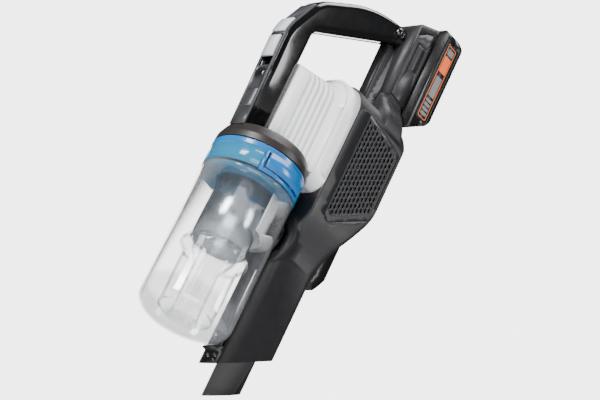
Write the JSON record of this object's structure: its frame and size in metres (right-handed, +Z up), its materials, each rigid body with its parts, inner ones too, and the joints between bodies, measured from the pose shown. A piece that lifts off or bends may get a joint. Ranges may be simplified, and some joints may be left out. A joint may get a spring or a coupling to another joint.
{
  "type": "handheld vacuum cleaner",
  "caption": "Cordless vacuum hand unit: clear cyclone bin, ribbed filter housing, motor body with side grilles, loop handle and slide-on battery.",
  "frame": {"origin": "centre of the inlet spigot's slanted mouth, on the spigot's axis", "axes": "+Z up the inlet duct towards the handle and the battery; -X towards the dust bin, +X towards the battery; Y across, with the object the same on both sides but for the inlet vane and the screws"},
  "size_m": [0.202, 0.1078, 0.4913],
  "materials": {
    "body_shell": "satin moulded, dark charcoal",
    "gloss_black": "polished black",
    "satin_black": "satin black",
    "collar_grey": "satin warm dark grey",
    "trim_grey": "satin mid grey",
    "button_grey": "satin light grey",
    "white": "satin white",
    "blue": "bright blue, gloss",
    "teal_clear": "tinted translucent blue",
    "clear": "clear moulded plastic",
    "mesh_steel": "fine perforated stainless",
    "rubber": "matt",
    "filter": "pleated filter cloth",
    "foam": "fine black foam",
    "copper": "contact metal",
    "steel": "turned steel",
    "board": "circuit board",
    "window": "smoked window",
    "label": "printed label, orange and dark grey",
    "cell": "shrink wrap",
    "dock_grey": "satin mid-dark grey"
  },
  "bodies": {
    "main_body": {"badge_plate": "trim_grey", "battery_dock": "body_shell", "bin_collar": "collar_grey", "body_screws": "steel", "body_shell_left": "body_shell", "body_shell_right": "body_shell", "collar_seal": "rubber", "contact_block": "satin_black", "contact_pins": "copper", "control_board": "board", "dock_cover_left": "dock_grey", "dock_cover_right": "dock_grey", "dock_hook": "satin_black", "dock_terminals": "copper", "exhaust_filter": "foam", "fan_shroud": "satin_black", "filter_band": "white", "filter_frame": "satin_black", "filter_housing": "white", "grille_left": "body_shell", "grille_right": "body_shell", "handle_left": "gloss_black", "handle_pin": "gloss_black", "handle_right": "gloss_black", "handle_screws": "steel", "handle_trim": "trim_grey", "inlet_elbow": "satin_black", "inlet_spigot": "gloss_black", "motor_bearings": "steel", "motor_board": "board", "motor_can": "satin_black", "motor_mounts": "rubber", "motor_stator": "steel", "pillar_panels": "dock_grey", "port_gasket": "satin_black", "pre_filter": "filter", "rear_pillar": "body_shell", "spigot_seal": "rubber", "status_window": "window"},
    "bin": {"bin_cup": "clear", "bin_rim": "blue", "rim_band": "teal_clear", "bin_seal": "rubber", "cyclone_head": "teal_clear", "mesh_shroud": "mesh_steel", "cone_skirt": "clear", "inner_funnel": "clear", "inlet_vane": "clear"},
    "bin_latch_left": {"latch_left": "blue"},
    "bin_latch_right": {"latch_right": "blue"},
    "power_switch": {"power_button": "button_grey"},
    "speed_switch": {"speed_slider": "button_grey"},
    "fan": {"impeller": "satin_black", "motor_rotor": "steel"},
    "battery": {"battery_case_front": "satin_black", "battery_case_rear": "satin_black", "battery_cells": "cell", "battery_terminals": "copper", "battery_labels": "label"},
    "battery_release": {"battery_latch": "satin_black"}
  },
  "joints": [
    {"name": "bin_tilt", "type": "hinge", "parent": "main_body", "child": "bin", "pos_m": [-0.0465, 0, 0.044], "axis": [0, -1, 0], "range_deg": [0, 40]},
    {"name": "bin_latch_left_press", "type": "slide", "parent": "bin", "child": "bin_latch_left", "axis": [0, 1, 0], "range_m": [0, 0.0018], "stiffness_N_per_m": 900},
    {"name": "bin_latch_right_press", "type": "slide", "parent": "bin", "child": "bin_latch_right", "axis": [0, -1, 0], "range_m": [0, 0.0018], "stiffness_N_per_m": 900},
    {"name": "power_press", "type": "slide", "parent": "main_body", "child": "power_switch", "axis": [1, 0, 0], "range_m": [0, 0.0015], "stiffness_N_per_m": 1200},
    {"name": "speed_slide", "type": "slide", "parent": "main_body", "child": "speed_switch", "axis": [-0.0388, 0, 0.9992], "range_m": [-0.01, 0.0015]},
    {"name": "fan_spin", "type": "hinge", "parent": "main_body", "child": "fan", "pos_m": [0, 0, 0.28], "axis": [1, 0, 0], "continuous": true},
    {"name": "battery_slide", "type": "slide", "parent": "main_body", "child": "battery", "axis": [0, 0, 1], "range_m": [0, 0.11]},
    {"name": "battery_release_press", "type": "slide", "parent": "battery", "child": "battery_release", "axis": [0, 0, -1], "range_m": [0, 0.0028], "stiffness_N_per_m": 900}
  ]
}
